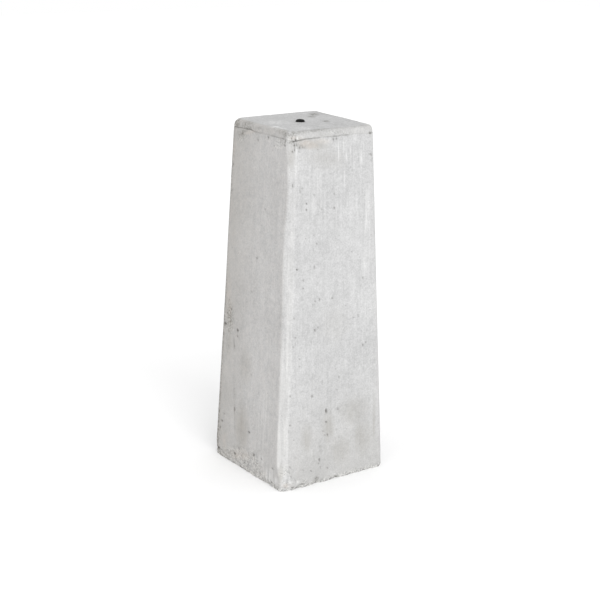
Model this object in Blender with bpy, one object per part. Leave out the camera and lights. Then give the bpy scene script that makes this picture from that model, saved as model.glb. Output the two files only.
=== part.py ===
"""Tapered precast concrete footing for a column, with a plug in the socket of its top.

The block is one casting. Its square section narrows upwards, its upright edges
are chamfered, a rounded rim stands above the seam that the mould left, and the
foot is ragged and chipped. A black plastic plug closes the socket in the top.

Lengths are metres, +Z is up, and the origin is the middle of the underside.
"""

import math

import bmesh
import bpy
from mathutils import Vector, noise

# Block. The top width is measured where the flat sides would meet the top.
HEIGHT = 0.600
BASE_WIDTH = 0.222
TOP_WIDTH = 0.175
EDGE_CHAMFER = 0.0125
ARRIS_RADIUS = 0.008
ARRIS_SHARE = 0.45  # most of a chamfer's width that one rounded arris may take

# Rim, from the seam up to the flat top, and the ledge it leaves on the sides.
# Its curve is a superellipse: 2 is an ellipse, and more makes it squarer.
RIM_DROP = 0.0135
RIM_INSET = 0.0070
RIM_LEDGE = 0.0003
RIM_SQUARENESS = 2.5

# Seam, a groove under the rim
SEAM_DEPTH = 0.0014
SEAM_HEIGHT = 0.0018

# Foot, worn ragged all round: how high and how deep the wear goes on average
WEAR_HEIGHT = 0.0045
WEAR_DEPTH = 0.0022
WEAR_UNEVEN = 0.8  # how far depth and height vary, as a share of their averages
WEAR_GRAIN = 0.017  # how far apart the depth's variations are
WEAR_HEIGHT_GRAIN = 0.0074  # and the height's

# Where the middle ring of the broken edge lies, as shares of its depth and height
BREAK_DEPTH_SHARE = 0.45
BREAK_HEIGHT_SHARE = 0.40

# Chips broken out of the foot. Each place is a share of the half base width,
# the middle of the block being 0 and its sides -1 and 1. A chip fades from its
# middle to its reach as (1 - distance squared) to this power.
CHIP_FADE = 1.5
CORNER_CHIP = dict(at=(-0.88, -1.0), reach=0.017, height=0.008, depth=0.0055)
MIDDLE_CHIP = dict(at=(0.03, -1.0), reach=0.008, height=0.004, depth=0.0040)
SMALL_CHIP = dict(at=(-0.33, -1.0), reach=0.009, height=0.007, depth=0.0025)
SIDE_CHIP = dict(at=(-1.0, -0.62), reach=0.013, height=0.006, depth=0.0040)
REAR_CHIP = dict(at=(1.0, 0.90), reach=0.018, height=0.009, depth=0.0060)
CHIPS = (CORNER_CHIP, MIDDLE_CHIP, SMALL_CHIP, SIDE_CHIP, REAR_CHIP)

# Socket near the middle of the top, cast a little off it
SOCKET_X = -0.0075
SOCKET_Y = -0.0013
SOCKET_DIAMETER = 0.0160
SOCKET_DEPTH = 0.0250

# Plug, whose domed head stands a little proud of the top, with a flat in its middle
PLUG_CLEARANCE = 0.0003
PLUG_PROUD = 0.0037
PLUG_FLAT_DIAMETER = 0.0076

# Points along one side, one rounded arris, the rim's curve, a full circle and the dome
SIDE_STEPS = 26
ARRIS_STEPS = 3
RIM_STEPS = 5
ROUND_STEPS = 48
DOME_STEPS = 6

# An arris of the chamfer turns through an eighth of a circle.
ARRIS_TURN = math.radians(45)
SMOOTH_ANGLE = math.radians(30)

# Colour as linear red, green and blue, and roughness
CONCRETE_COLOUR = (0.53, 0.53, 0.52)
CONCRETE_ROUGHNESS = 0.9
PLASTIC_COLOUR = (0.015, 0.015, 0.016)
PLASTIC_ROUGHNESS = 0.5


def clear_objects():
    """Remove whatever the scene holds."""
    for old in list(bpy.data.objects):
        bpy.data.objects.remove(old, do_unlink=True)


def material(name, colour, roughness):
    """A non-metal with one colour and one roughness."""
    made = bpy.data.materials.new(name)
    made.use_nodes = True
    shader = made.node_tree.nodes["Principled BSDF"]
    shader.inputs["Base Color"].default_value = (*colour, 1.0)
    shader.inputs["Roughness"].default_value = roughness
    shader.inputs["Metallic"].default_value = 0.0
    return made


def add_object(name, mesh_maker, finish):
    """Put the mesh that mesh_maker builds into a new object of this name."""
    mesh = bpy.data.meshes.new(name)
    bm = bmesh.new()
    mesh_maker(bm)
    bmesh.ops.recalc_face_normals(bm, faces=bm.faces)
    bm.to_mesh(mesh)
    bm.free()
    mesh.shade_smooth()
    mesh.set_sharp_from_angle(angle=SMOOTH_ANGLE)
    obj = bpy.data.objects.new(name, mesh)
    obj.data.materials.append(finish)
    bpy.context.scene.collection.objects.link(obj)
    return obj


def half_width(z):
    """Half the width between two flat sides at height z."""
    return (BASE_WIDTH + (TOP_WIDTH - BASE_WIDTH) * z / HEIGHT) / 2


def section(z, inset=0.0):
    """The block's outline at height z, moved in by inset.

    It is a square with its corners cut at 45 degrees and both arrises of each
    cut rounded. Moving a cut corner in by a distance shortens the legs of the
    cut by (2 - sqrt 2) of it.
    """
    half = half_width(z) - inset
    leg = EDGE_CHAMFER - (2 - math.sqrt(2)) * inset
    tangent_share = math.tan(ARRIS_TURN / 2)
    flat = leg * math.sqrt(2)
    radius = min(ARRIS_RADIUS, ARRIS_SHARE * flat / tangent_share)
    tangent = radius * tangent_share
    reach = half - leg

    quarter = []
    for step in range(SIDE_STEPS):
        along = (reach - tangent) * (2 * step / SIDE_STEPS - 1)
        quarter.append(Vector((along, -half)))
    first_centre = Vector((reach - tangent, radius - half))
    second_centre = Vector((half - radius, tangent - reach))
    for centre, start in ((first_centre, -2 * ARRIS_TURN), (second_centre, -ARRIS_TURN)):
        for step in range(ARRIS_STEPS + 1):
            angle = start + ARRIS_TURN * step / ARRIS_STEPS
            quarter.append(centre + radius * Vector((math.cos(angle), math.sin(angle))))
    # The last point is where the next side starts.
    quarter.pop()

    points = []
    for turn in range(4):
        for point in quarter:
            points.append(rotated(point, turn * math.pi / 2))
    return points


def rotated(point, angle):
    """A point of the plan turned about the origin."""
    cos, sin = math.cos(angle), math.sin(angle)
    return Vector((point.x * cos - point.y * sin, point.x * sin + point.y * cos))


def chipped(point, field):
    """How far the chips go at a point of the foot, in their depth or their height."""
    total = 0.0
    for chip in CHIPS:
        centre = Vector(chip["at"]) * BASE_WIDTH / 2
        nearness = 1 - ((point - centre).length / chip["reach"]) ** 2
        total += chip[field] * max(nearness, 0.0) ** CHIP_FADE
    return total


def wear(point):
    """Depth and height of the broken edge at a point of the foot's outline.

    Each is its average times one plus a smooth noise that runs round the foot,
    plus the chips that reach this point.
    """
    spot = Vector((point.x, point.y, 0.0))
    uneven = 1 + WEAR_UNEVEN * noise.noise(spot / WEAR_GRAIN)
    ragged = 1 + WEAR_UNEVEN * noise.noise(spot / WEAR_HEIGHT_GRAIN)
    depth = WEAR_DEPTH * uneven + chipped(point, "depth")
    height = WEAR_HEIGHT * ragged + chipped(point, "height")
    return depth, height


def foot_rings():
    """Three rings of the broken foot edge: on the ground, inside the break, on the sides."""
    ground, broken, sound = [], [], []
    seam_height = HEIGHT - RIM_DROP
    for low, high in zip(section(0.0), section(seam_height)):
        depth, height = wear(low)
        inward = -low.normalized()
        share = height / seam_height
        side = low.lerp(high, share)
        ground.append((*(low + inward * depth), 0.0))
        halfway = low + inward * depth * BREAK_DEPTH_SHARE
        broken.append((*halfway, height * BREAK_HEIGHT_SHARE))
        sound.append((*side, height))
    return [ground, broken, sound]


def level_ring(z, inset=0.0):
    """One level ring of the block's outline."""
    return [(point.x, point.y, z) for point in section(z, inset)]


def upper_rings():
    """The seam's groove, then the rim, whose curve is a quarter of a superellipse."""
    seam = HEIGHT - RIM_DROP
    rings = [
        level_ring(seam - SEAM_HEIGHT / 2),
        level_ring(seam, SEAM_DEPTH),
        level_ring(seam + SEAM_HEIGHT / 2, RIM_LEDGE),
    ]
    rise = RIM_DROP - SEAM_HEIGHT / 2
    curve = RIM_INSET - RIM_LEDGE
    power = 2 / RIM_SQUARENESS
    for step in range(1, RIM_STEPS):
        angle = math.pi / 2 * step / RIM_STEPS
        z = HEIGHT - rise + rise * math.sin(angle) ** power
        rings.append(level_ring(z, RIM_INSET - curve * math.cos(angle) ** power))
    rings.append(level_ring(HEIGHT, RIM_INSET))
    return rings


def skin(bm, rings):
    """Join rings of equal count with quads, and close the first and the last."""
    loops = [[bm.verts.new(point) for point in ring] for ring in rings]
    for lower, upper in zip(loops, loops[1:]):
        for here in range(len(lower)):
            after = (here + 1) % len(lower)
            bm.faces.new((lower[here], lower[after], upper[after], upper[here]))
    bm.faces.new(reversed(loops[0]))
    bm.faces.new(loops[-1])


def circle_ring(radius, z):
    """A level ring of a round piece about the socket's axis."""
    ring = []
    for step in range(ROUND_STEPS):
        angle = 2 * math.pi * step / ROUND_STEPS
        ring.append((SOCKET_X + radius * math.cos(angle), SOCKET_Y + radius * math.sin(angle), z))
    return ring


def block_mesh(bm):
    """The whole casting before its socket is cut."""
    skin(bm, foot_rings() + upper_rings())


def socket_mesh(bm):
    """The socket's room, carried past the top so that it cuts cleanly."""
    radius = SOCKET_DIAMETER / 2
    skin(bm, [circle_ring(radius, HEIGHT - SOCKET_DEPTH), circle_ring(radius, HEIGHT + SOCKET_DEPTH)])


def plug_mesh(bm):
    """A turned plug with a domed head, clear of the socket all round.

    The dome's curve is a quarter of an ellipse, from the level of the top up to
    the flat in the middle.
    """
    radius = SOCKET_DIAMETER / 2 - PLUG_CLEARANCE
    flat = min(PLUG_FLAT_DIAMETER, radius) / 2
    rings = [circle_ring(radius, HEIGHT - SOCKET_DEPTH + PLUG_CLEARANCE)]
    for step in range(DOME_STEPS + 1):
        angle = math.pi / 2 * step / DOME_STEPS
        reach = flat + (radius - flat) * math.cos(angle)
        rings.append(circle_ring(reach, HEIGHT + PLUG_PROUD * math.sin(angle)))
    skin(bm, rings)


def make_block():
    """The concrete casting with its socket."""
    concrete = material("grey_concrete", CONCRETE_COLOUR, CONCRETE_ROUGHNESS)
    block = add_object("concrete_block", block_mesh, concrete)
    cutter = add_object("socket_cutter", socket_mesh, concrete)
    cutter.hide_render = True
    cutter.display_type = "WIRE"
    cut = block.modifiers.new("socket", "BOOLEAN")
    cut.operation = "DIFFERENCE"
    cut.object = cutter
    return block


def make_plug():
    """The black plastic plug in the socket."""
    plastic = material("black_plastic", PLASTIC_COLOUR, PLASTIC_ROUGHNESS)
    return add_object("socket_plug", plug_mesh, plastic)


clear_objects()
make_block()
make_plug()
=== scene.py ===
"""A tapered precast concrete footing for a column, with a black plug in the socket of its top.

It stands on a pale studio floor and is seen from its front left edge, a little from above.
"""

import math

import bpy
import numpy as np
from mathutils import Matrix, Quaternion, Vector


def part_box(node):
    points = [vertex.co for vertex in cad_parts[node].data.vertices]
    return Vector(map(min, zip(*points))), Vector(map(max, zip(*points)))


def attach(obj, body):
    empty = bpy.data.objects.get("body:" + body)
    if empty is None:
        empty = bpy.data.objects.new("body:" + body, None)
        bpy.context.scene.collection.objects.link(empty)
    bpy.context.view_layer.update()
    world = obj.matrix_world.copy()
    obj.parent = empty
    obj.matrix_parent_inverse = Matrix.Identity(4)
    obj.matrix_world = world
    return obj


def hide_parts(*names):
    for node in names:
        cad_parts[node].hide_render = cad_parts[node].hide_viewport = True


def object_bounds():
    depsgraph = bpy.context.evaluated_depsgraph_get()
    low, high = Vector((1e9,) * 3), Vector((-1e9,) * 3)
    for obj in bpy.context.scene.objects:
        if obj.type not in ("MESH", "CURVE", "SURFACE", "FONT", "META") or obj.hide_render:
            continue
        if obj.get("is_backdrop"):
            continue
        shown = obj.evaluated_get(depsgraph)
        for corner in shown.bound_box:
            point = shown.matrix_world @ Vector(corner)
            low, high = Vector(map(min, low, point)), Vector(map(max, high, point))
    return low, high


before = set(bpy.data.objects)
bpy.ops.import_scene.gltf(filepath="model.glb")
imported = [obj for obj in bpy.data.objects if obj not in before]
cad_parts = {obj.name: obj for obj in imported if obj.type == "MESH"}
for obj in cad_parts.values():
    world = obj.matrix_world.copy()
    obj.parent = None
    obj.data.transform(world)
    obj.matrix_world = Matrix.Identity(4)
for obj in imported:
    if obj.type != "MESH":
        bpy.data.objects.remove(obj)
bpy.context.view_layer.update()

# Camera
# A long lens that faces the block's front left edge from a little above, held about a degree
# off level. Pixels named further down are read in the photograph's 600 by 600 frame.
PHOTO_PIXELS = 600
SENSOR_MM = 36.0
LENS_MM = 80.4
CAMERA_DISTANCE = 2.300
CAMERA_TURN = math.radians(35.55)
CAMERA_PITCH = math.radians(16.46)
CAMERA_ROLL = math.radians(0.95)
LOOK_AT = Vector((-0.0005, 0.0007, 0.2919))


def towards(turn, rise):
    """The direction turned from the front to the left by turn, and raised above level by rise."""
    return Vector((
        -math.sin(turn) * math.cos(rise), -math.cos(turn) * math.cos(rise), math.sin(rise)))


back = towards(CAMERA_TURN, CAMERA_PITCH)
camera = bpy.data.objects.new("camera", bpy.data.cameras.new("camera"))
bpy.context.scene.collection.objects.link(camera)
camera.data.sensor_width = SENSOR_MM
camera.data.lens = LENS_MM
camera.location = LOOK_AT + back * CAMERA_DISTANCE
camera.rotation_mode = "QUATERNION"
camera.rotation_quaternion = back.to_track_quat("Z", "Y") @ Quaternion((0, 0, 1), CAMERA_ROLL)
bpy.context.scene.camera = camera

FOCAL_PIXELS = LENS_MM / SENSOR_MM * PHOTO_PIXELS
camera_axes = np.array(camera.rotation_quaternion.to_matrix())


def sight(x, y):
    """The direction in which the camera sees pixel x, y of the photograph."""
    ray = Vector((x - PHOTO_PIXELS / 2, PHOTO_PIXELS / 2 - y, -FOCAL_PIXELS))
    return (camera.rotation_quaternion @ ray).normalized()


def pixel_x(points):
    """How far across the photograph points lie: half its width plus focal length x / depth."""
    seen = (points - np.array(camera.location)) @ camera_axes
    return PHOTO_PIXELS / 2 - FOCAL_PIXELS * seen[..., 0] / seen[..., 2]


# Concrete block, its plan
# One casting of grey cement and gravel, tipped out of a steel mould. Its section is a square
# with cut corners that narrows upwards; the wear of the mould shows in its uneven edges.
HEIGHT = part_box("concrete_block")[1].z
BASE_HALF = 0.111
TOP_HALF = 0.0875
TAPER = (BASE_HALF - TOP_HALF) / HEIGHT
EDGE_LEG = 0.0125
ARRIS_RADIUS = 0.008
ARRIS_TURN = math.radians(45)

# Columns of the surface on the front, right, back and left sides, on each rounded arris and
# across each cut corner. The two sides that hide are coarser.
SIDE_COLUMNS = (112, 40, 40, 88)
ARRIS_COLUMNS = 4
CUT_COLUMNS = 7

# The cut of the front left edge wanders: how far it lies towards the left side, in mm, at
# shares of the height. It swings to the right below the rim and at the foot, and to the left
# a little above the foot.
EDGE_DRIFT_AT = (0.0, 0.04, 0.075, 0.13, 0.25, 0.42, 0.60, 0.69, 0.75, 0.80, 0.87, 0.94, 1.0)
EDGE_DRIFT_MM = (-4.0, -2.0, 4.0, 4.2, 2.8, -0.2, -1.2, 0.4, -2.0, -6.6, -8.0, -3.4, -1.0)
FRONT_DRIFT_SHARE = 0.8

# At its foot this cut is worn wider along the front side: by how much, and up to what height
FOOT_CUT = 0.0045
FOOT_CUT_HEIGHT = 0.040

# The cuts of the two edges at the back close up towards the top: leg in m, and heights
RIGHT_BACK_LEG = (EDGE_LEG, 0.0055)
RIGHT_BACK_AT = (0.84, 0.96)
LEFT_BACK_LEG = (EDGE_LEG, 0.0105)
LEFT_BACK_AT = (0.40, 0.85)


def outline(half, drift, worn, right_back, left_back):
    """Outline of each row, as x and y of its columns, anticlockwise from the front left edge.

    It is a square of half width half whose corners are cut at 45 degrees, with both arrises
    of each cut rounded as a circle's arc. drift carries the cut of the front left edge on to
    the left side, and off the front side by FRONT_DRIFT_SHARE of it; worn carries it further
    along the front side. The last two values are how much is cut off the sides at the two
    edges at the back.
    """
    tangent = ARRIS_RADIUS * math.tan(ARRIS_TURN / 2)
    leg = np.full_like(half, EDGE_LEG)
    ends = [leg, right_back, left_back, leg + drift]
    starts = [leg - FRONT_DRIFT_SHARE * drift + worn, leg, right_back, left_back]
    arc = np.arange(ARRIS_COLUMNS + 1) / ARRIS_COLUMNS * ARRIS_TURN
    plan = []
    for side, count in enumerate(SIDE_COLUMNS):
        left_end = starts[side] + tangent - half
        right_end = half - ends[side] - tangent
        share = np.arange(count) / count
        side_x = left_end + (right_end - left_end) * share
        side_y = np.broadcast_to(-half, side_x.shape)
        turn_x = right_end + ARRIS_RADIUS * np.sin(arc)
        turn_y = ARRIS_RADIUS - half - ARRIS_RADIUS * np.cos(arc)
        back_x = half - ARRIS_RADIUS + ARRIS_RADIUS * np.sin(arc + ARRIS_TURN)
        back_y = tangent + starts[(side + 1) % 4] - half - ARRIS_RADIUS * np.cos(arc + ARRIS_TURN)
        cut = np.arange(1, CUT_COLUMNS) / CUT_COLUMNS
        cut_x = turn_x[:, -1:] + (back_x[:, :1] - turn_x[:, -1:]) * cut
        cut_y = turn_y[:, -1:] + (back_y[:, :1] - turn_y[:, -1:]) * cut
        x = np.hstack((side_x, turn_x, cut_x, back_x[:, :-1]))
        y = np.hstack((side_y, turn_y, cut_y, back_y[:, :-1]))
        cos, sin = round(math.cos(side * math.pi / 2)), round(math.sin(side * math.pi / 2))
        plan.append(np.stack((x * cos - y * sin, x * sin + y * cos), axis=-1))
    return np.concatenate(plan, axis=1)


def noise(points, grain, seed):
    """Smooth random values from -1 to 1.

    Random numbers stand on a lattice, grain metres apart, and each point blends those of the
    eight corners around it, with the weights 3 t squared less 2 t cubed along each axis.
    """
    cells = 48
    lattice = np.random.default_rng(seed).uniform(-1, 1, (cells, cells, cells))
    spot = points / grain
    corner = np.floor(spot).astype(int)
    part = spot - corner
    part = part * part * (3 - 2 * part)
    total = np.zeros(points.shape[:-1])
    for step in np.ndindex(2, 2, 2):
        index = (corner + step) % cells
        weight = np.prod(np.where(step, part, 1 - part), axis=-1)
        total += weight * lattice[index[..., 0], index[..., 1], index[..., 2]]
    return total


def waves(points, parts):
    """The sum of smooth noises, each given by its height, its grain in metres and its seed."""
    return sum(height * noise(points, grain, seed) for height, grain, seed in parts)


def landing(x, y):
    """Where the line of sight of a pixel enters the block, taken as flat sides and top."""
    ray = sight(x, y)
    faces = (
        (Vector((0, -1, TAPER)), BASE_HALF),
        (Vector((-1, 0, TAPER)), BASE_HALF),
        (Vector((-1, -1, 2 * TAPER)), 2 * BASE_HALF - EDGE_LEG),
        (Vector((0, 0, 1)), HEIGHT),
    )
    eye = camera.location
    reach = max((offset - normal.dot(eye)) / normal.dot(ray) for normal, offset in faces)
    return np.array(eye + ray * reach)


def near(points, pixel, width_mm, height_mm, reach_mm=90):
    """One at the spot that a pixel shows, falling smoothly to zero at an oval around it.

    The oval is square to the line of sight, so a mark gets the width and height that the
    photograph shows, and it dies out at reach_mm before and behind the spot. With r the
    distance as a share of its half axes, the value is (1 - r squared) squared.
    """
    half_axes = np.array((width_mm / 2, height_mm / 2, reach_mm)) / 1000
    seen = (points - landing(*pixel)) @ camera_axes
    return np.clip(1 - ((seen / half_axes) ** 2).sum(axis=-1), 0, 1) ** 2


# Concrete block, its profile
# From the socket's floor up its wall, out over the top, round the rim, through the seam that
# the mould's lid left, down the sides to the broken foot, and in under it.
SOCKET_RADIUS = 0.008
SOCKET_FLOOR = HEIGHT - 0.025
RIM_DROP = 0.0135
RIM_INSET = 0.0070
RIM_LEDGE = 0.0003
RIM_SQUARENESS = 2.5
SEAM_DEPTH = 0.0012
TOP_ROWS = 26
RIM_ROWS = 9
SIDE_ROWS = 226
FOOT_ROWS = 12
FOOT_ZONE = 0.016
FOOT_CROWDING = 1.3  # more than 1 brings the foot's rows closer together towards the ground
UNDER_ROWS = 7

# The seam's rows: height from the seam's middle and depth as a share of SEAM_DEPTH
SEAM_HEIGHTS = np.array((0.0015, 0.0008, 0.0003, -0.0003, -0.0008, -0.0016))
SEAM_SHARES = np.array((0.0, 0.45, 1.0, 0.9, 0.3, 0.0))

# The rim's curve is a superellipse: its two shares, raised to RIM_SQUARENESS, add up to one.
seam_z = HEIGHT - RIM_DROP
rim_angle = np.linspace(math.pi / 2, 0, RIM_ROWS, endpoint=False)
rim_foot = seam_z + SEAM_HEIGHTS[0]
rim_z = rim_foot + (HEIGHT - rim_foot) * np.sin(rim_angle) ** (2 / RIM_SQUARENESS)
rim_inset = RIM_LEDGE + (RIM_INSET - RIM_LEDGE) * (1 - np.cos(rim_angle) ** (2 / RIM_SQUARENESS))
seam_rows_z = seam_z + SEAM_HEIGHTS
seam_inset = np.where(SEAM_HEIGHTS > 0, RIM_LEDGE, 0.0)
side_z = np.linspace(seam_rows_z[-1], FOOT_ZONE, SIDE_ROWS + 1)[1:]
foot_z = FOOT_ZONE * (1 - np.arange(1, FOOT_ROWS + 1) / FOOT_ROWS) ** FOOT_CROWDING
wall_z = np.concatenate((rim_z, seam_rows_z, side_z, foot_z))
wall_inset = np.concatenate((rim_inset, seam_inset, np.zeros(SIDE_ROWS + FOOT_ROWS)))
wall_rows = len(wall_z)
seam_share = np.zeros(wall_rows)
seam_share[RIM_ROWS:RIM_ROWS + len(SEAM_HEIGHTS)] = SEAM_SHARES

half = (BASE_HALF - TAPER * wall_z - wall_inset)[:, None]
drift = np.interp(wall_z / HEIGHT, EDGE_DRIFT_AT, EDGE_DRIFT_MM)[:, None] / 1000
worn = np.interp(wall_z, (0, FOOT_CUT_HEIGHT), (FOOT_CUT, 0))[:, None]
right_back = np.interp(wall_z / HEIGHT, RIGHT_BACK_AT, RIGHT_BACK_LEG)[:, None]
left_back = np.interp(wall_z / HEIGHT, LEFT_BACK_AT, LEFT_BACK_LEG)[:, None]
wall_plan = outline(half, drift, worn, right_back, left_back)
columns = wall_plan.shape[1]
wall_level = np.broadcast_to(wall_z[:, None, None], (wall_rows, columns, 1))
wall = np.concatenate((wall_plan, wall_level), axis=2)

# Outward direction of each column in plan, square to the outline of a row halfway up, and
# whether the camera sees the column
plain_cut = np.array([[EDGE_LEG]])
no_shift = np.zeros((1, 1))
middle = outline(np.array([[TOP_HALF]]), no_shift, no_shift, plain_cut, plain_cut)[0]
ahead = np.roll(middle, -1, axis=0) - np.roll(middle, 1, axis=0)
outward = np.stack((ahead[:, 1], -ahead[:, 0]), axis=1)
outward /= np.linalg.norm(outward, axis=1)[:, None]
in_view = outward @ np.array(camera.location)[:2] > 0

# Foot, broken as it left the mould: wear all round and six chips. The wear's height and depth
# vary by waves, given by their share of the average, their grain in m and their seed. Each
# chip's place is a share of the half base width, its reach, height and depth are in metres,
# and it fades from its middle as (1 - distance squared) to the power BREAK_POWER.
WEAR_HEIGHT = 0.0045
WEAR_DEPTH = 0.0022
LEAST_WEAR_HEIGHT = 0.0010
LEAST_WEAR_DEPTH = 0.0002
WEAR_HEIGHT_WAVES = ((0.5, 0.015, 3), (0.7, 0.0045, 4))
WEAR_DEPTH_WAVES = ((0.4, 0.017, 1), (0.8, 0.0042, 2))
BREAK_POWER = 1.5
CHIPS = (
    dict(at=(-0.68, -1.0), reach=0.009, height=0.005, depth=0.0035),
    dict(at=(-1.0, 0.90), reach=0.020, height=0.030, depth=0.0020),
    dict(at=(0.03, -1.0), reach=0.008, height=0.004, depth=0.0040),
    dict(at=(-0.33, -1.0), reach=0.009, height=0.007, depth=0.0025),
    dict(at=(-1.0, -0.62), reach=0.013, height=0.006, depth=0.0040),
    dict(at=(1.0, 0.90), reach=0.018, height=0.009, depth=0.0060),
)
# How much of the wear there is along the foot, at these pixels across the photograph
WEAR_AT = (216, 224, 250, 274, 280, 292, 300, 330, 350, 368, 380)
WEAR_SHARE = (0.2, 0.7, 0.8, 0.6, 0.1, 0.2, 0.6, 0.6, 0.5, 0.4, 0.1)

ground = wall[-1].copy()
ground[:, 2] = 0
wear_share = np.where(in_view, np.interp(pixel_x(ground), WEAR_AT, WEAR_SHARE), 1.0)
wear_depth = WEAR_DEPTH * wear_share * (1 + waves(ground, WEAR_DEPTH_WAVES))
wear_height = WEAR_HEIGHT * (1 + waves(ground, WEAR_HEIGHT_WAVES))
wear_depth = np.clip(wear_depth, LEAST_WEAR_DEPTH, None)
wear_height = np.clip(wear_height, LEAST_WEAR_HEIGHT, None)
for chip in CHIPS:
    centre = np.array(chip["at"]) * BASE_HALF
    nearness = 1 - (np.linalg.norm(ground[:, :2] - centre, axis=1) / chip["reach"]) ** 2
    broken = np.clip(nearness, 0, 1) ** BREAK_POWER
    wear_depth += chip["depth"] * broken
    wear_height += chip["height"] * broken

# The seam is neither level nor open all the way. In view, its rise in mm and how open it is
# follow these pixels across the photograph; on the hidden sides both wander at random.
SEAM_AT = (232, 237, 243, 250, 254, 258, 262, 266, 269, 274, 278, 282, 287, 290, 293, 296, 300,
           306, 309, 314, 317, 321, 330, 334, 338, 341, 346, 350, 358, 366, 371, 373)
SEAM_RISE = (1.2, 0.9, 2.2, 2.9, 1.7, 0.6, 0.8, 1.2, 1.3, 1.6, 1.5, 1.3, 0.6, -1.4, -1.2, -0.9, 0.3,
             1.0, 1.2, 1.3, 1.4, 1.3, 1.0, 0.9, 1.0, 1.4, 1.0, 0.9, 0.4, -0.2, -0.5, -0.6)
SEAM_OPEN = (0.7, 0.7, 0.6, 0.8, 0.5, 0.35, 0.2, 0.15, 0.3, 0.55, 0.4, 0.6, 0.3, 0.35, 0.9, 1.0, 0.9,
             0.9, 0.8, 0.6, 0.5, 0.3, 0.4, 0.5, 0.5, 0.4, 0.5, 0.2, 0.1, 0.05, 0.4, 0.5)
HIDDEN_RISE = 0.0012
HIDDEN_OPEN = 0.5
RISE_JITTER = 0.0006
OPEN_JITTER = 0.5
LEAST_OPEN = 0.03
SEAM_FOLLOW = 0.040  # how far below the seam the rows still follow its rise
seam_ring = wall[RIM_ROWS]
seam_x = pixel_x(seam_ring)
rise_in_view = np.interp(seam_x, SEAM_AT, SEAM_RISE) / 1000
open_in_view = np.interp(seam_x, SEAM_AT, SEAM_OPEN)
seam_shift = np.where(in_view, rise_in_view, HIDDEN_RISE * noise(seam_ring, 0.035, 5))
seam_shift += RISE_JITTER * noise(seam_ring, 0.007, 6)
seam_open = np.where(in_view, open_in_view, HIDDEN_OPEN * (1 + noise(seam_ring, 0.022, 7)))
seam_open = np.clip(seam_open * (1 + OPEN_JITTER * noise(seam_ring, 0.005, 15)), LEAST_OPEN, 1)
follow = np.interp(wall_z, (seam_z - SEAM_FOLLOW, seam_z, HEIGHT), (0, 1, 0))
wall[..., 2] += follow[:, None] * seam_shift

# All of this moves the walls in, square to the outline: long waves, finer unevenness, the
# rough and pitted part near the ground, the seam, and the crumbled foot, whose break is
# (1 - z / height) to the power BREAK_POWER. Each unevenness has its mean depth and its grain
# in m, the grain's width as a share of its height, and a seed.
UNEVENNESS = ((0.00045, 0.140, 1.0, 8), (0.00020, 0.026, 0.5, 9), (0.00012, 0.007, 0.4, 10))
ROUGH_HEIGHT = 0.024
ROUGH_DEPTH = 0.00060
PIT_DEPTH = 0.00090
low_down = np.clip(1 - wall[..., 2] / ROUGH_HEIGHT, 0, 1)
inward = np.zeros(wall.shape[:2])
for depth, grain, slimness, seed in UNEVENNESS:
    inward += depth * (1 + noise(wall * (1, 1, slimness), grain, seed))
inward += ROUGH_DEPTH * low_down * (1 + noise(wall, 0.0065, 11))
inward += PIT_DEPTH * low_down * np.clip(noise(wall, 0.0042, 14) * 2 - 0.5, 0, 1)
inward += SEAM_DEPTH * seam_share[:, None] * seam_open
inward += wear_depth * np.clip(1 - wall[..., 2] / wear_height, 0, 1) ** BREAK_POWER
wall[..., :2] -= outward * inward[..., None]

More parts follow.
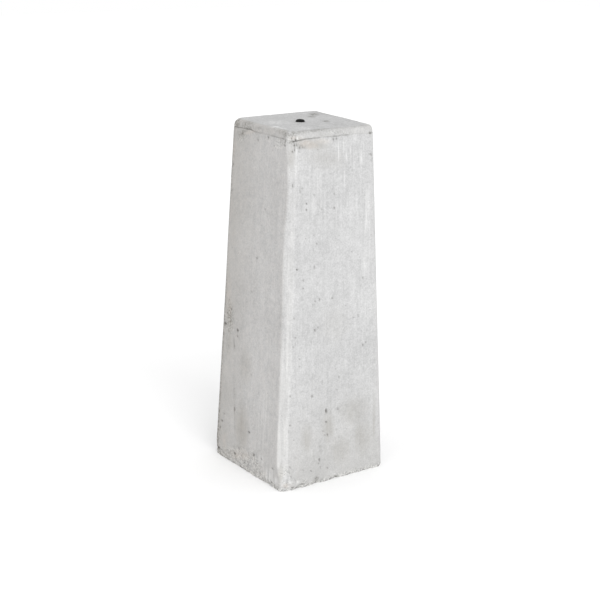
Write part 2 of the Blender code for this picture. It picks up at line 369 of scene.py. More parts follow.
# Holes that air bubbles left against the mould, and small breaks, by their place in the
# photograph: x and y in pixels, then width, height and depth in mm
HOLES = (
    (326.3, 411.0, 6.0, 13.0, 1.5), (326.3, 422.0, 4.6, 5.0, 1.5), (337.8, 409.0, 4.0, 8.0, 0.9),
    (327.6, 435.0, 4.6, 5.0, 1.4), (323.1, 431.0, 3.6, 3.8, 0.9), (289.9, 425.7, 5.0, 4.6, 0.8),
    (312.2, 396.4, 6.0, 6.0, 1.1), (322.3, 381.3, 3.8, 4.4, 0.9), (339.2, 377.2, 3.4, 8.0, 1.1),
    (335.6, 369.1, 3.6, 4.0, 0.8), (337.1, 390.0, 4.0, 5.0, 0.7), (315.0, 330.3, 6.4, 6.4, 1.1),
    (318.0, 327.6, 4.4, 4.0, 0.7), (358.4, 315.7, 5.4, 5.4, 0.8), (353.5, 317.0, 6.0, 4.0, 0.8),
    (343.3, 315.7, 5.0, 3.6, 0.6), (362.9, 344.8, 5.4, 5.0, 1.2), (365.7, 341.8, 4.2, 4.0, 0.9),
    (295.5, 338.0, 4.2, 4.0, 0.7), (295.5, 344.6, 3.8, 3.8, 0.8), (293.3, 347.7, 4.0, 4.2, 0.8),
    (311.4, 342.6, 4.0, 3.8, 0.8), (299.6, 359.0, 3.8, 3.8, 0.8), (299.9, 367.0, 4.2, 4.2, 0.6),
    (290.2, 396.1, 5.0, 5.4, 0.9), (294.1, 318.3, 4.6, 4.6, 0.9), (315.2, 301.0, 4.4, 4.4, 0.9),
    (319.6, 299.7, 3.6, 5.0, 1.3), (312.7, 304.5, 3.6, 3.8, 0.7), (332.3, 298.2, 5.2, 4.0, 0.8),
    (303.3, 280.6, 3.4, 6.0, 0.9), (303.3, 288.4, 3.4, 5.4, 1.0), (314.4, 267.5, 3.0, 12.0, 0.9),
    (296.9, 269.5, 4.8, 4.0, 1.7), (362.9, 278.3, 5.0, 4.0, 1.0), (316.8, 243.7, 3.6, 4.4, 0.8),
    (334.5, 208.0, 4.6, 5.0, 1.2), (321.7, 209.0, 5.2, 4.4, 0.6), (306.6, 203.7, 4.2, 5.0, 1.1),
    (306.6, 210.2, 4.2, 4.8, 1.3), (314.5, 195.3, 6.0, 4.6, 0.7), (334.4, 193.6, 3.0, 7.0, 0.9),
    (302.2, 188.1, 4.6, 3.6, 1.1), (300.1, 191.3, 4.6, 4.0, 1.4), (292.4, 185.8, 3.0, 9.0, 1.0),
    (350.8, 167.5, 3.4, 3.6, 0.7), (371.3, 154.6, 5.4, 5.0, 1.4), (370.2, 133.0, 6.0, 5.0, 1.1),
    (319.4, 459.8, 3.2, 9.0, 1.6), (303.4, 471.0, 4.0, 4.0, 0.9), (311.2, 471.0, 3.6, 5.0, 1.2),
    (290.0, 467.6, 5.0, 4.6, 1.1), (327.4, 467.8, 4.0, 4.4, 1.0), (272.5, 468.6, 5.0, 5.0, 1.1),
    (248.8, 432.4, 6.4, 5.0, 1.5), (253.5, 455.3, 6.4, 6.0, 1.8), (234.4, 453.8, 6.0, 9.0, 1.9),
    (318.6, 463.4, 3.0, 4.0, 0.9), (320.5, 467.8, 3.0, 6.0, 0.8), (321.0, 451.0, 2.6, 26.0, 0.45),
    (313.7, 455.0, 2.6, 34.0, 0.35), (324.8, 435.4, 3.2, 3.4, 0.6), (335.1, 437.6, 3.2, 3.4, 0.7),
    (338.7, 437.6, 3.2, 3.2, 0.6), (336.6, 429.0, 3.2, 4.4, 0.6), (328.6, 440.6, 3.4, 3.4, 0.7),
    (291.2, 477.2, 3.0, 6.0, 1.1), (288.0, 471.1, 3.2, 3.6, 0.7), (294.8, 479.4, 2.8, 5.0, 0.6),
    (300.0, 469.4, 4.0, 3.6, 0.6), (335.9, 476.7, 7.6, 2.8, 1.7), (302.6, 484.4, 11.0, 2.6, 1.1),
    (271.4, 482.7, 5.0, 4.6, 1.5), (248.4, 464.3, 3.4, 3.4, 0.8), (262.6, 477.9, 3.0, 5.0, 0.8),
    (239.0, 448.6, 6.0, 3.6, 0.6), (222.8, 452.4, 5.0, 3.6, 0.8), (288.4, 432.0, 2.6, 8.0, 0.5),
    (316.6, 478.2, 9.0, 7.0, 0.4), (228.0, 459.6, 4.0, 3.0, 0.9), (240.0, 466.0, 4.0, 3.0, 0.8),
    (251.1, 375.2, 5.0, 4.2, 0.5), (251.3, 291.8, 6.6, 4.2, 0.6), (257.0, 257.6, 6.2, 4.0, 1.3),
    (265.0, 209.5, 5.0, 3.6, 0.7), (237.3, 330.3, 5.4, 8.0, 1.9), (234.0, 346.0, 5.0, 14.0, 0.8),
    (225.1, 323.5, 8.0, 7.0, 2.2), (218.2, 447.6, 8.0, 6.0, 2.4), (221.9, 420.6, 6.0, 6.0, 1.2),
    (232.4, 164.1, 8.0, 6.0, 0.9), (231.6, 190.0, 7.0, 5.0, 0.8), (272.8, 149.7, 5.0, 4.0, 0.6),
    (237.5, 336.0, 4.0, 5.0, 1.0), (229.0, 300.0, 5.0, 4.0, 1.0), (231.5, 309.0, 4.6, 4.0, 0.9),
    (227.5, 313.0, 4.6, 4.0, 1.0), (230.5, 321.0, 5.0, 4.0, 1.0), (228.5, 331.0, 4.6, 4.0, 1.0),
    (220.0, 427.0, 5.0, 6.0, 1.2), (219.0, 411.0, 4.6, 7.0, 1.0), (223.4, 452.8, 5.0, 4.0, 1.2),
    (244.5, 462.8, 4.6, 4.0, 1.2), (261.5, 459.5, 4.6, 4.0, 0.8), (227.0, 450.0, 4.6, 4.0, 0.9),
    (286.2, 485.2, 13.0, 2.2, 0.6), (291.8, 487.6, 5.0, 2.8, 0.8), (281.8, 487.4, 4.0, 3.0, 0.7),
    (297.5, 486.2, 7.0, 2.2, 0.7), (221.4, 449.6, 3.4, 3.4, 1.4), (226.4, 456.0, 4.0, 2.6, 0.9),
    (234.4, 409.0, 4.4, 13.0, 1.1), (233.8, 344.0, 4.4, 36.0, 0.5), (224.0, 414.0, 4.4, 5.0, 0.9),
    (285.2, 487.5, 5.0, 4.0, 0.9), (293.0, 488.0, 7.0, 4.0, 0.7), (289.2, 472.6, 3.6, 9.0, 0.7),
)
# Breaks along the seam, given in the same way
SEAM_BREAKS = (
    (293.4, 141.7, 5.4, 4.0, 1.6), (295.6, 140.5, 4.6, 3.2, 1.7), (294.4, 145.2, 4.6, 8.0, 1.3),
    (296.4, 144.7, 4.4, 4.8, 1.4), (294.5, 150.0, 3.2, 8.0, 1.2), (292.3, 151.4, 4.4, 4.8, 1.3),
    (299.8, 148.1, 5.4, 5.0, 1.2), (284.7, 145.4, 4.0, 5.0, 1.2), (285.2, 141.0, 3.4, 9.0, 0.8),
    (268.4, 137.2, 3.2, 7.0, 1.1), (264.5, 141.0, 3.0, 3.6, 0.6), (258.0, 139.8, 3.6, 5.0, 0.7),
    (242.4, 133.4, 6.0, 5.0, 1.1), (291.4, 138.3, 4.0, 3.4, 1.1), (295.2, 138.1, 3.6, 2.6, 0.6),
    (292.5, 136.2, 4.0, 3.2, 0.9), (295.6, 136.1, 4.0, 3.2, 0.9), (302.9, 147.2, 3.6, 6.0, 0.8),
    (298.9, 151.4, 4.4, 4.8, 0.7), (280.6, 139.4, 3.6, 5.0, 0.7), (285.8, 135.4, 4.0, 3.6, 0.7),
    (333.4, 139.4, 3.2, 7.0, 1.2), (336.7, 138.4, 3.2, 7.0, 1.0), (340.6, 135.2, 4.0, 2.6, 0.5),
    (347.2, 134.8, 6.0, 2.6, 0.6), (337.0, 136.4, 5.0, 2.6, 1.0), (289.6, 142.4, 3.0, 3.0, 0.7),
    (372.6, 158.4, 3.0, 3.0, 0.8), (371.2, 160.2, 2.6, 2.6, 0.7), (369.6, 154.4, 3.4, 2.6, 0.7),
    (286.8, 132.8, 10.0, 5.0, 0.6),
)
HOLE_REACH_MM = 22
FULL_DARK_MM = 1.6  # holes of this depth and more are fully dark
# Painted shade: each hole is darkened inside by its depth, fully at FULL_DARK_MM and more
hole_painted_shade = np.zeros(wall.shape[:2])
hole_depth = np.zeros(wall.shape[:2])
for x, y, width, height, depth in HOLES + SEAM_BREAKS:
    shape = near(wall, (x, y), width, height, HOLE_REACH_MM)
    hole_depth += depth / 1000 * shape
    hole_painted_shade = np.maximum(hole_painted_shade, shape * min(depth / FULL_DARK_MM, 1.0))
wall[..., :2] -= outward * hole_depth[..., None]
wall[-1, :, 2] = 0

# Top, trowelled by hand: how far it falls and rises, then its waves' height, grain and seed
TOP_FALL = 0.0016
TOP_RISE = 0.0010
REAR_RISE = 0.0006
TOP_WAVES = ((0.0003, 0.050, 12), (0.00020, 0.012, 13))


def top_lift(points):
    """Height of the trowelled top above its plane: low waves and finer unevenness.

    Towards the right corner in view it falls by up to TOP_FALL, and at the far corner it
    rises by TOP_RISE, with the square of each corner's share of the way from the middle.
    Along the edge at the back it rises by REAR_RISE, with the square of the share of the way
    there, times one less the square of the share of the way to either end of that edge.
    """
    to_right = np.clip((points[..., 0] - points[..., 1]) / (2 * TOP_HALF), 0, 1) ** 2
    to_back = np.clip((points[..., 0] + points[..., 1]) / (2 * TOP_HALF), 0, 1) ** 2
    to_rear = np.clip(points[..., 1] / TOP_HALF, 0, 1) ** 2
    to_rear *= np.clip(1 - (points[..., 0] / TOP_HALF) ** 2, 0, 1)
    lift = waves(points * (1, 1, 0), TOP_WAVES)
    return lift - TOP_FALL * to_right + TOP_RISE * to_back + REAR_RISE * to_rear


# Top, socket and underside close the walls. The top's rows run straight from the outline to
# the socket's mouth, and those of the underside to its middle.
SOCKET_LIP = 0.0012  # how far below the top the socket's wall starts
plug_low, plug_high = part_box("socket_plug")
socket_centre = np.array((plug_low + plug_high) / 2)[:2]
spoke = wall[0, :, :2] - socket_centre
circle = spoke / np.linalg.norm(spoke, axis=1)[:, None] * SOCKET_RADIUS + socket_centre
rise = np.interp(wall_z, (seam_z, HEIGHT), (0, 1))[:, None]
wall[..., 2] += rise * top_lift(wall)
top_share = (np.arange(1, TOP_ROWS + 1) / TOP_ROWS)[::-1, None, None]
top = np.zeros((TOP_ROWS, columns, 3))
top[..., :2] = wall[0, :, :2] * (1 - top_share) + circle * top_share
top[..., 2] = HEIGHT
top[..., 2] += top_lift(top)
socket = np.zeros((2, columns, 3))
socket[..., :2] = circle
socket[..., 2] = ((SOCKET_FLOOR,), (HEIGHT - SOCKET_LIP,))
under_share = (np.arange(1, UNDER_ROWS + 1) / (UNDER_ROWS + 1))[:, None, None]
under = wall[-1] * (1 - under_share)
grid = np.concatenate((socket, top, wall, under))


def surface(name, grid):
    """A closed mesh from rows of points that run round an axis, open at neither end.

    Row by row the points make quads, and a fan closes the first and the last row at the mean
    of its points.
    """
    rows, columns = grid.shape[:2]
    index = np.arange(rows * columns).reshape(rows, columns)
    after = np.roll(index, -1, axis=1)
    quads = np.stack((index[:-1], index[1:], after[1:], after[:-1]), axis=-1).reshape(-1, 4)
    first, last = rows * columns, rows * columns + 1
    start = np.stack((np.full(columns, first), index[0], after[0]), axis=-1)
    end = np.stack((np.full(columns, last), after[-1], index[-1]), axis=-1)
    points = np.concatenate((grid.reshape(-1, 3), [grid[0].mean(axis=0)], [grid[-1].mean(axis=0)]))
    mesh = bpy.data.meshes.new(name)
    mesh.from_pydata(points.tolist(), [], quads.tolist() + start.tolist() + end.tolist())
    mesh.shade_smooth()
    piece = bpy.data.objects.new(name, mesh)
    bpy.context.scene.collection.objects.link(piece)
    return piece


BLOCK_SHARP = math.radians(55)  # what turns by more than this is a sharp edge
block = surface("cast_block", grid)
block.data.set_sharp_from_angle(angle=BLOCK_SHARP)

# Marks on the concrete, kept on the surface as attributes from 0 to 1. Each row of a list is
# a pixel's x and y, then width and height in mm and how strong the mark is.
# Grime, and a faint line of painted shade on the left side beside the front left edge
GRIME_AND_SHADE = (
    (237.0, 122.0, 18, 24, 0.95), (235.5, 126.0, 12, 16, 0.6), (285.5, 136.2, 9, 5, 0.5),
    (313.9, 114.4, 26, 14, 0.95), (311.5, 116.6, 22, 8, 0.80), (326.0, 121.2, 18, 8, 0.90),
    (290.5, 112.8, 20, 5, 0.95), (301.4, 114.6, 14, 6, 0.15), (247.0, 124.0, 40, 20, 0.60),
    (248.0, 127.5, 30, 14, 0.65), (258.0, 127.5, 26, 9, 0.35), (291.0, 133.4, 24, 6, 0.25),
    (284.6, 133.0, 10, 9, 1.0), (323.0, 134.0, 26, 8, 0.25), (340.0, 125.0, 30, 8, 0.2),
    (243.0, 131.6, 34, 9, 0.60), (291.6, 142.0, 16, 9, 0.55), (315.0, 481.5, 12, 5, 0.9),
    (243.0, 136.6, 22, 8, 0.35), (300.0, 146.0, 20, 14, 0.40), (305.0, 147.5, 10, 6, 0.5),
    (294.6, 145.5, 9, 14, 0.45), (298.5, 148.3, 12, 8, 0.40), (284.5, 141.5, 10, 14, 0.45),
    (268.5, 138.5, 8, 9, 0.3), (241.0, 134.0, 18, 12, 0.6), (258.0, 138.0, 8, 14, 0.3),
    (334.5, 137.6, 10, 8, 0.3), (346.0, 135.4, 16, 5, 0.2), (370.3, 133.0, 10, 8, 0.4),
    (354.0, 126.5, 12, 5, 0.3), (361.5, 125.0, 10, 5, 0.35),
    (230.0, 316.0, 18, 80, 0.5), (228.0, 345.0, 16, 60, 0.3), (234.4, 405.0, 5, 170, 0.35),
    (236.6, 119.6, 11, 9, 0.8),
    (218.5, 448.0, 10, 8, 0.9), (241.5, 395.0, 12, 120, 0.14), (237.0, 447.0, 26, 10, 0.3),
    # the long faint oval at 281.5, 330 is painted shade beside the front left edge
    (281.5, 330.0, 5, 260, 0.06), (335.8, 476.8, 8, 3.0, 1.0), (316.6, 478.4, 12, 10, 0.8),
    (360.7, 438.0, 10, 50, 0.2), (357.5, 432.0, 14, 70, 0.12), (330.5, 425.0, 8, 60, 0.14),
    (347.0, 190.0, 4, 50, 0.12), (330.5, 405.0, 5, 60, 0.14), (319.8, 449.0, 5, 50, 0.22),
    (335.0, 220.0, 6, 60, 0.06), (302.0, 484.0, 16, 3.6, 0.6), (288.0, 488.5, 22, 5, 0.5),
)
# Warm patches: iron and clay in the cement, under the rim and at the foot of the left side
STAIN = (
    (308.0, 144.0, 46, 20, 0.45), (322.0, 141.0, 44, 14, 0.3), (296.0, 138.0, 40, 10, 0.4),
    (240.0, 455.0, 80, 40, 0.45), (262.0, 474.0, 60, 20, 0.3), (286.0, 486.0, 26, 14, 0.4),
    (233.0, 148.0, 30, 60, 0.3), (224.0, 440.0, 22, 60, 0.35), (229.0, 300.0, 26, 180, 0.35),
    (250.0, 132.0, 60, 14, 0.4),
)
# Lime that ran down the front side from the rim, in the region of these ovals
LIME = (
    (338.6, 153.0, 3, 44, 0.45), (343.4, 146.0, 3, 34, 0.65), (346.4, 157.0, 3, 28, 0.60),
    (350.2, 150.0, 3, 22, 0.50), (361.2, 158.0, 5, 40, 0.30), (338.4, 185.0, 3, 70, 0.22),
    (344.6, 185.0, 4, 70, 0.22), (352.4, 170.0, 4, 70, 0.15), (356.5, 195.0, 3, 60, 0.15),
    (361.0, 200.0, 3, 70, 0.12), (364.5, 215.0, 4, 120, 0.14), (296.0, 160.0, 4, 110, 0.35),
    (367.0, 225.0, 16, 200, 0.24), (288.4, 487.2, 6, 5, 0.7), (283.0, 485.0, 5, 4, 0.4),
    (334.0, 474.0, 8, 4, 1.0), (362.0, 130.5, 44, 12, 0.25), (302.0, 345.0, 34, 160, 0.06),
    (264.0, 425.0, 34, 130, 0.22), (268.0, 475.0, 32, 38, 0.58), (262.0, 460.0, 36, 30, 0.25),
    (318.0, 200.0, 44, 110, 0.14), (278.0, 122.5, 60, 20, 0.28), (303.0, 128.0, 44, 14, 0.28),
    (276.5, 126.8, 34, 8, 0.60), (282.5, 128.4, 22, 6, 0.60), (290.3, 138.0, 4, 3, 0.6),
    (297.2, 138.2, 5, 4, 0.7), (307.5, 142.9, 9, 3, 0.6), (302.0, 136.6, 14, 4, 0.3),
    (292.0, 482.5, 16, 8, 0.50), (299.0, 482.0, 14, 10, 0.45), (366.0, 262.0, 24, 60, 0.30),
    (274.5, 481.5, 18, 22, 0.60), (293.4, 137.4, 5, 4, 0.8), (289.6, 139.4, 8, 4, 0.5),
)
# Damp patches above what the whole foot has, and crumbled ones
DAMP = (
    (362.0, 440.0, 60, 130, 0.48), (340.0, 452.0, 76, 110, 0.42), (354.0, 412.0, 100, 90, 0.38),
    (230.0, 455.0, 60, 50, 0.36), (230.0, 320.0, 30, 200, 0.15), (291.0, 156.0, 20, 70, 0.36),
    (312.0, 145.0, 80, 24, 0.52), (325.0, 158.0, 110, 50, 0.24), (292.0, 138.0, 30, 14, 0.3),
    (242.0, 124.0, 50, 22, 0.3), (306.0, 440.0, 44, 90, 0.42), (374.0, 420.0, 10, 150, 0.45),
    (241.0, 428.0, 46, 140, 0.60), (328.0, 428.0, 40, 90, 0.48), (280.5, 474.0, 14, 48, 0.50),
    (244.0, 364.0, 44, 110, 0.36), (334.0, 326.0, 80, 100, 0.15),
)
CRUMB = (
    (286.0, 484.0, 34, 18, 0.6), (302.0, 481.0, 30, 12, 0.5), (290.0, 142.0, 24, 12, 0.5),
    (236.5, 123.0, 18, 20, 0.6), (292.0, 136.0, 30, 12, 0.5), (262.0, 131.0, 60, 10, 0.3),
    (336.0, 132.0, 70, 10, 0.4), (242.0, 138.0, 30, 24, 0.4), (279.0, 144.0, 26, 26, 0.6),
    (218.5, 436.0, 14, 60, 0.5), (229.5, 318.0, 22, 90, 0.7), (284.0, 472.0, 24, 36, 0.5),
)


def mark(name, spots, extra=0.0):
    """Store on the block, as a float attribute, the most of extra and its spots at each point."""
    strongest = np.zeros(grid.shape[:2]) + extra
    for x, y, width, height, strength in spots:
        strongest = np.maximum(strongest, strength * near(grid, (x, y), width, height))
    values = np.concatenate((strongest.ravel(), strongest[0, :1], strongest[-1, :1]))
    attribute = block.data.attributes.new(name, "FLOAT", "POINT")
    attribute.data.foreach_set("value", values.astype(np.float32))


first_wall = len(socket) + TOP_ROWS
first_under = first_wall + wall_rows
wall_part = slice(first_wall, first_under)


def layer(on_wall, under=0.0):
    """A value at each point of the block: these on the walls, under below, nothing elsewhere."""
    values = np.zeros(grid.shape[:2])
    values[wall_part] = on_wall
    values[first_under:] = under
    return values


# The seam's dark line, and the dirt that has run down from it: how strong each is, and over
# how many mm it fades. Dirt lies in the socket and on the underside too.
SEAM_DARK = 0.65
SEAM_DARK_MM = 0.8
SEAM_DIRT = 0.3
SEAM_DIRT_MM = 7
SOCKET_DIRT = 0.8
UNDER_DIRT = 0.6
seam_gap = (wall[..., 2] - seam_z - seam_shift) * 1000
seam_line = layer(SEAM_DARK * np.exp(-(seam_gap / SEAM_DARK_MM) ** 2) * seam_open)
run_down = np.exp(np.clip(seam_gap, None, 0) / SEAM_DIRT_MM) * (seam_gap < 0)
soil_and_shade = layer(SEAM_DIRT * run_down * seam_open, UNDER_DIRT)
soil_and_shade[:len(socket)] = SOCKET_DIRT
holes = layer(hole_painted_shade)

# A column belongs to a side by the cosine of the angle between the ways they face, raised to
# SIDE_POWER, and to the front left edge as that cosine grows from EDGE_FROM to one.
SIDE_POWER = 6
EDGE_WAY = (-0.707, -0.707)
EDGE_FROM = 0.74
facing_front = np.clip(-outward[:, 1], 0, 1) ** SIDE_POWER
facing_left = np.clip(-outward[:, 0], 0, 1) ** SIDE_POWER
facing_edge = np.clip((outward @ EDGE_WAY - EDGE_FROM) / (1 - EDGE_FROM), 0, 1)
across = pixel_x(wall)
from_left = across - across.min(axis=1, keepdims=True)
from_right = across.max(axis=1, keepdims=True) - across

# Darker towards the bottom, falling off with height and most on the front side, and the rim a
# little darker than the sides. Along the left outline the left side is darkened as painted
# shade. None of it reaches the front left edge. What the front side has more or less than the
# others comes second, and the left outline's painted shade fades over pixels from the outline.
LOW_DARKENING = 0.10
LOW_DARKENING_FRONT = 0.14
LOW_DARKENING_HEIGHT = 0.130
RIM_DARKENING = 0.22
RIM_DARKENING_FRONT = -0.04
LEFT_OUTLINE_SHADE = 0.36
LEFT_OUTLINE_SHADE_PIXELS = 20
UNDER_DAMP = 0.4
near_ground = np.exp(-(wall[..., 2] / LOW_DARKENING_HEIGHT) ** 2)
low_darkening = (LOW_DARKENING + LOW_DARKENING_FRONT * facing_front) * near_ground
rim_darkening = (RIM_DARKENING + RIM_DARKENING_FRONT * facing_front) * (seam_gap > 0)
left_outline_shade = LEFT_OUTLINE_SHADE * np.exp(-(from_left / LEFT_OUTLINE_SHADE_PIXELS) ** 2) * facing_left
damp_and_shade = layer(np.maximum.reduce((low_darkening, rim_darkening, left_outline_shade)) * (1 - facing_edge), UNDER_DAMP)

# Painted light: the front left edge is painted paler where it faces the light more squarely,
# most of all 8 cm up, and so is the right outline, where its rounded arris turns from the
# light: how much, at these heights in m, and over how many pixels it fades from the outline
EDGE_LIGHT_AT = (0, 0.02, 0.045, 0.08, 0.17, 0.38, 0.44, 0.50)
EDGE_LIGHT = (0.06, 0.12, 0.27, 0.31, 0.21, 0.14, 0.09, 0.03)
RIGHT_LIGHT_AT = (0, 0.12, 0.20)
RIGHT_LIGHT = (0.04, 0.08, 0.22)
RIGHT_LIGHT_PIXELS = 1.5
edge_painted_light = facing_edge * np.interp(wall[..., 2], EDGE_LIGHT_AT, EDGE_LIGHT)
right_painted_light = np.interp(wall[..., 2], RIGHT_LIGHT_AT, RIGHT_LIGHT) * in_view
right_painted_light *= np.exp(-(from_right / RIGHT_LIGHT_PIXELS) ** 2)
painted_edge_light = layer(np.maximum(edge_painted_light, right_painted_light))

# Painted shade lies along the edge at the back of the left side, where its rounded arris turns
# from the light, by height in m and less of it where it doesn't show, and a dark ring lies where
# the rim turns into the top. How strong the ring is, and how far below the top it lies, follow
# these pixels across the photograph.
EDGE_SHADE_AT = (0.02, 0.07, 0.14, 0.29, 0.36, 0.43, 0.50)
EDGE_SHADE = (0.85, 0.95, 0.70, 0.60, 0.20, 0.12, 0.45)
EDGE_SHADE_PIXELS = 1.6
HIDDEN_SHADE_SHARE = 0.45
RING_AT = (240, 262, 276, 283, 290, 298, 306, 314, 322, 330, 340, 350)
RING_DARKENING = (0.20, 0.08, 0.15, 0.60, 0.75, 0.40, 0.32, 0.45, 0.50, 0.25, 0.10, 0.05)
RING_DROP = (0.003, 0.003, 0.003, 0.003, 0.003, 0.002, 0.0, 0.0, 0.0, 0.0, 0.0, 0.0)
RING_ON_TOP = 0.0060
RING_ON_RIM = 0.0032
edge_painted_shade = np.exp(-(from_left / EDGE_SHADE_PIXELS) ** 2) * np.where(in_view, 1.0, HIDDEN_SHADE_SHARE)
edge_painted_shade *= np.interp(wall[..., 2], EDGE_SHADE_AT, EDGE_SHADE)
soil_and_shade[wall_part] = np.maximum(soil_and_shade[wall_part], edge_painted_shade)
from_rim = np.linalg.norm(top[..., :2] - wall[0, :, :2], axis=-1)
rim_depth = np.concatenate((-from_rim, HEIGHT - wall[..., 2]))
ring_part = slice(len(socket), first_under)
ring_x = pixel_x(grid[ring_part])
ring_gap = rim_depth - np.interp(ring_x, RING_AT, RING_DROP)
ring = ring_gap / np.where(rim_depth < 0, RING_ON_TOP, RING_ON_RIM)
ring_darkening = np.interp(ring_x, RING_AT, RING_DARKENING) * np.exp(-ring ** 2)
soil_and_shade[ring_part] = np.maximum(soil_and_shade[ring_part], ring_darkening)

# Crumbled band at the foot, about 5 mm high, and higher on the left side: its upper edge
# there, in m, follows these pixels across the photograph, and BAND_POWER makes it sharp.
# That side is a little warmer all over, and the underside is crumbled throughout.
BAND_AT = (216, 225, 240, 255, 260, 266, 276)
BAND_TOP = (0.015, 0.023, 0.036, 0.046, 0.030, 0.018, 0.010)
BAND_POWER = 6
BAND_CRUMB = 0.55
FOOT_CRUMB = 0.85
FOOT_CRUMB_HEIGHT = 0.0065
UNDER_CRUMB = 1.0
LEFT_STAIN = 0.16
band = np.exp(-(wall[..., 2] / np.interp(across, BAND_AT, BAND_TOP)) ** BAND_POWER)
foot = np.exp(-(wall[..., 2] / FOOT_CRUMB_HEIGHT) ** 2)
crumb = layer(np.maximum(BAND_CRUMB * facing_left * band, FOOT_CRUMB * foot), UNDER_CRUMB)
stain = layer(LEFT_STAIN * facing_left)
mark("seam", (), seam_line)
mark("hole_shade", (), holes)
mark("grime_and_shade", GRIME_AND_SHADE, soil_and_shade)
mark("stain", STAIN, stain)
mark("lime", LIME)
mark("painted_edge_light", (), painted_edge_light)
mark("damp_and_shade", DAMP, damp_and_shade)
mark("crumb", CRUMB, crumb)


def colour(code):
    """An sRGB hex code as linear red, green, blue and an alpha of one."""
    parts = [int(code[start:start + 2], 16) / 255 for start in (1, 3, 5)]
    linear = [part / 12.92 if part <= 0.04045 else ((part + 0.055) / 1.055) ** 2.4 for part in parts]
    return (*linear, 1.0)


def add(tree, kind, inputs=None, output=0, **settings):
    """Add a node to a tree: settings are its properties, inputs its values or links.

    What comes back is the node's output of this name or number, if it has any.
    """
    made = tree.nodes.new(kind)
    for name, value in settings.items():
        setattr(made, name, value)
    for key, value in (inputs or {}).items():
        if isinstance(value, bpy.types.NodeSocket):
            tree.links.new(value, made.inputs[key])
        else:
            made.inputs[key].default_value = value
    return made.outputs[output] if len(made.outputs) else made


def per_mm(size):
    """A texture scale whose pattern repeats every size millimetres on Object coordinates."""
    return 1000 / size


def empty_material(name):
    """A new material and its node tree, which is still empty."""
    made = bpy.data.materials.new(name)
    made.use_nodes = True
    made.node_tree.nodes.clear()
    return made, made.node_tree


# The colour inputs of a mix, at a factor of 0 and of 1, and its colour output
MIX_UNDER = 6
MIX_OVER = 7
MIX_COLOUR = 2

# As-cast concrete: grey cement paste against steel. It is matt and faintly cloudy, with
# upright streaks from the mould's sides, pinholes, dirt in what is hollow, and lime runs.
UPRIGHT_SQUASH = (1.0, 1.0, 0.04)
concrete, tree = empty_material("as_cast_grey_concrete")
place = add(tree, "ShaderNodeTexCoord", output="Object")
upright = add(tree, "ShaderNodeMapping", {"Vector": place, "Scale": UPRIGHT_SQUASH})

# Cloudy textures, each with the size of its features in mm and its detail. Sand in cement is
# finer than this grit, which is drawn as coarse as it needs to show.
TEXTURES = ((place, 60, 3), (place, 9, 3), (place, 2.6, 2), (upright, 5, 3), (place, 4, 3))
clouds, mottle, grit, streaks, patches = [
    add(tree, "ShaderNodeTexNoise", {
        "Vector": vector, "Scale": per_mm(size), "Detail": detail, "Roughness": 0.6}, "Fac")
    for vector, size, detail in TEXTURES]
grains = add(tree, "ShaderNodeTexVoronoi", {"Vector": place, "Scale": per_mm(2.2)}, "Color")
bubbles = add(tree, "ShaderNodeTexVoronoi", {"Vector": place, "Scale": per_mm(12)}, "Distance")
marks = {}
for name in ("seam", "hole_shade", "grime_and_shade", "stain", "lime", "painted_edge_light", "damp_and_shade", "crumb"):
    marks[name] = add(tree, "ShaderNodeAttribute", output="Fac", attribute_name=name)

# Lightness of the paste: a base, and so much of each texture
tone = -0.30
for texture, share in ((clouds, 0.35), (mottle, 0.35), (streaks, 0.30), (grit, 0.60)):
    tone = add(tree, "ShaderNodeMath", {0: texture, 1: share, 2: tone}, operation="MULTIPLY_ADD")
cement = add(tree, "ShaderNodeMix", {
    "Factor": tone, MIX_UNDER: colour("#838383"), MIX_OVER: colour("#d2d2d2"),
}, MIX_COLOUR, data_type="RGBA")

# Over the paste lie damp and darkening in streaks, with painted shade along the left outline,
# the dark and the light sand of what is crumbled, warm stains, lime, painted light on the front
# left edge and the right outline, and grime with painted shade along the left side. Each has
# its mark, the texture that breaks it up, from and to which value of that, how much of it there
# is at both, and its colour.
LAYERS = (
    # damp patches and darkening, with painted shade along the left outline
    ("damp_and_shade", streaks, 0.30, 0.70, 0.60, 1.40, "#918e88"),
    ("crumb", grains, 0.54, 0.72, 0.00, 0.70, "#5b5a55"),
    ("crumb", grains, 0.26, 0.42, 0.60, 0.00, "#dcdcd6"),
    ("stain", mottle, 0.30, 0.70, 0.30, 1.00, "#c1b5aa"),
    ("lime", streaks, 0.42, 0.60, 0.15, 1.00, "#e4e4e3"),
    # painted light on the front left edge and the right outline
    ("painted_edge_light", streaks, 0.35, 0.65, 0.40, 1.10, "#e6e5e2"),
    # grime, with painted shade along the left outline and beside the front left edge
    ("grime_and_shade", patches, 0.40, 0.60, 0.15, 1.00, "#5e5c54"),
)
for name, texture, low, high, at_low, at_high, code in LAYERS:
    broken_up = add(tree, "ShaderNodeMapRange", {
        "Value": texture, "From Min": low, "From Max": high, "To Min": at_low, "To Max": at_high})
    share = add(tree, "ShaderNodeMath", {0: marks[name], 1: broken_up}, operation="MULTIPLY")
    cement = add(tree, "ShaderNodeMix", {
        "Factor": share, MIX_UNDER: cement, MIX_OVER: colour(code),
    }, MIX_COLOUR, data_type="RGBA")

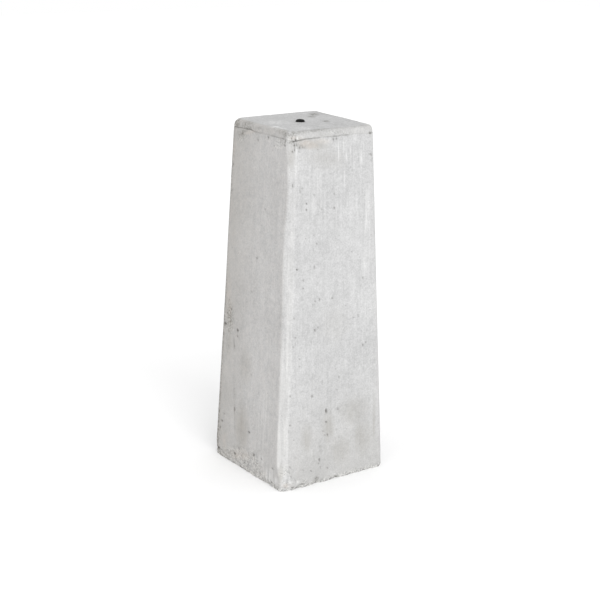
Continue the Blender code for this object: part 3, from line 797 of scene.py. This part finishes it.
# Pinholes stand where the clouds are light. The seam has its dark line, and the holes and
# pinholes are darkened inside as painted shade.
PINHOLE_SHADE = 0.30
round_holes = add(tree, "ShaderNodeMapRange", {
    "Value": bubbles, "From Min": 0.06, "From Max": 0.13, "To Min": 1.0, "To Max": 0.0})
light_clouds = add(tree, "ShaderNodeMapRange", {"Value": clouds, "From Min": 0.50, "From Max": 0.62})
pinholes = add(tree, "ShaderNodeMath", {0: round_holes, 1: light_clouds}, operation="MULTIPLY")
pinhole_painted_shade = add(tree, "ShaderNodeMath", {0: pinholes, 1: PINHOLE_SHADE}, operation="MULTIPLY")
seam_line_and_hole_shade = marks["seam"]
for other in (marks["hole_shade"], pinhole_painted_shade):
    seam_line_and_hole_shade = add(tree, "ShaderNodeMath", {0: seam_line_and_hole_shade, 1: other}, operation="MAXIMUM")
cement = add(tree, "ShaderNodeMix", {
    "Factor": seam_line_and_hole_shade, MIX_UNDER: cement, MIX_OVER: colour("#47453f"),
}, MIX_COLOUR, data_type="RGBA")

# Relief too fine for the mesh: grit, more of the mottle, and the pinholes sunk in. Where the
# mottle is high the paste is a little duller.
relief = grit
for texture, height in ((mottle, 1.4), (pinholes, -0.8)):
    relief = add(tree, "ShaderNodeMath", {0: texture, 1: height, 2: relief}, operation="MULTIPLY_ADD")
tilt = add(tree, "ShaderNodeBump", {"Height": relief, "Strength": 0.55, "Distance": 0.0006})
dullness = add(tree, "ShaderNodeMapRange", {
    "Value": mottle, "From Min": 0.3, "From Max": 0.7, "To Min": 0.82, "To Max": 0.95})
shader = add(tree, "ShaderNodeBsdfPrincipled", {
    "Base Color": cement, "Roughness": dullness, "Normal": tilt, "IOR": 1.5,
    "Specular IOR Level": 0.3})
add(tree, "ShaderNodeOutputMaterial", {"Surface": shader})
block.data.materials.append(concrete)
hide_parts("concrete_block")
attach(block, "root")

# Socket plug
# A moulded cap of black polyethylene, pressed into the socket to keep it clean. It is turned
# in shape, and its head is a quarter of an ellipse in section, with a flat in its middle.
PLUG_CLEARANCE = 0.0003
PLUG_RADIUS = SOCKET_RADIUS - PLUG_CLEARANCE
PLUG_FLAT = 0.0038
PLUG_TOP = plug_high.z
PLUG_FOOT = plug_low.z
PLUG_COLUMNS = 96
DOME_ROWS = 20
FLAT_ROWS = PLUG_FLAT * np.array((0.4, 0.8))  # radii of the rows on the head's flat
SHANK_ROW = HEIGHT - 0.004  # height of the row between the head and the foot
PLUG_SHARP = math.radians(40)

dome_angle = np.linspace(math.pi / 2, 0, DOME_ROWS)
plug_r = np.concatenate((
    FLAT_ROWS,
    PLUG_FLAT + (PLUG_RADIUS - PLUG_FLAT) * np.cos(dome_angle),
    [PLUG_RADIUS] * 2,
))
plug_z = np.concatenate((
    [PLUG_TOP] * len(FLAT_ROWS),
    HEIGHT + (PLUG_TOP - HEIGHT) * np.sin(dome_angle),
    [SHANK_ROW, PLUG_FOOT],
))
turn = np.arange(PLUG_COLUMNS) / PLUG_COLUMNS * 2 * math.pi
plug_grid = np.stack((
    socket_centre[0] + plug_r[:, None] * np.cos(turn),
    socket_centre[1] + plug_r[:, None] * np.sin(turn),
    np.broadcast_to(plug_z[:, None], (len(plug_r), PLUG_COLUMNS)),
), axis=-1)
plug = surface("plug_cap", plug_grid)
plug.data.set_sharp_from_angle(angle=PLUG_SHARP)

# Moulded polyethylene: black right through, dulled by dust, with hardly any shine left
plastic, tree = empty_material("moulded_black_polyethylene")
place = add(tree, "ShaderNodeTexCoord", output="Object")
dust = add(tree, "ShaderNodeTexNoise", {
    "Vector": place, "Scale": per_mm(3), "Detail": 4, "Roughness": 0.65}, "Fac")
dust_share = add(tree, "ShaderNodeMapRange", {
    "Value": dust, "From Min": 0.45, "From Max": 0.75, "To Max": 0.5})
dusty = add(tree, "ShaderNodeMix", {
    "Factor": dust_share, MIX_UNDER: colour("#141414"), MIX_OVER: colour("#2b2a28"),
}, MIX_COLOUR, data_type="RGBA")
tilt = add(tree, "ShaderNodeBump", {"Height": dust, "Strength": 0.3, "Distance": 0.0002})
shader = add(tree, "ShaderNodeBsdfPrincipled", {
    "Base Color": dusty, "Roughness": 0.75, "Normal": tilt, "IOR": 1.5, "Specular IOR Level": 0.1})
add(tree, "ShaderNodeOutputMaterial", {"Surface": shader})
plug.data.materials.append(plastic)
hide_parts("socket_plug")
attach(plug, "root")

# Studio
# A wide pale floor of matt paint, an even white surround, and one broad soft light from the
# camera's right and a little above, which makes the front side lighter than the left one.
FLOOR_HALF = 9.0
floor_corners = [(x * FLOOR_HALF, y * FLOOR_HALF, 0) for x, y in ((-1, -1), (1, -1), (1, 1), (-1, 1))]
floor_mesh = bpy.data.meshes.new("studio_floor")
floor_mesh.from_pydata(floor_corners, [], [(0, 1, 2, 3)])
floor = bpy.data.objects.new("studio_floor", floor_mesh)
bpy.context.scene.collection.objects.link(floor)
paint, tree = empty_material("matt_floor_paint")
shader = add(tree, "ShaderNodeBsdfPrincipled", {
    "Base Color": colour("#f2f2f2"), "Roughness": 1.0, "Specular IOR Level": 0.0})
add(tree, "ShaderNodeOutputMaterial", {"Surface": shader})
floor.data.materials.append(paint)
floor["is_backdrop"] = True

world = bpy.data.worlds.new("white_surround")
bpy.context.scene.world = world
world.use_nodes = True
surround = world.node_tree.nodes["Background"]
surround.inputs["Color"].default_value = colour("#ffffff")
surround.inputs["Strength"].default_value = 1.0

KEY_TURN = math.radians(15)
KEY_RISE = math.radians(25)
KEY_SPREAD = math.radians(50)
KEY_STRENGTH = 1.85
key = bpy.data.objects.new("key_light", bpy.data.lights.new("key_light", "SUN"))
bpy.context.scene.collection.objects.link(key)
key.data.angle = KEY_SPREAD
key.data.energy = KEY_STRENGTH
key.rotation_mode = "QUATERNION"
key.rotation_quaternion = towards(KEY_TURN, KEY_RISE).to_track_quat("Z", "Y")

bpy.context.scene.view_settings.view_transform = "Standard"

low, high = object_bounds()
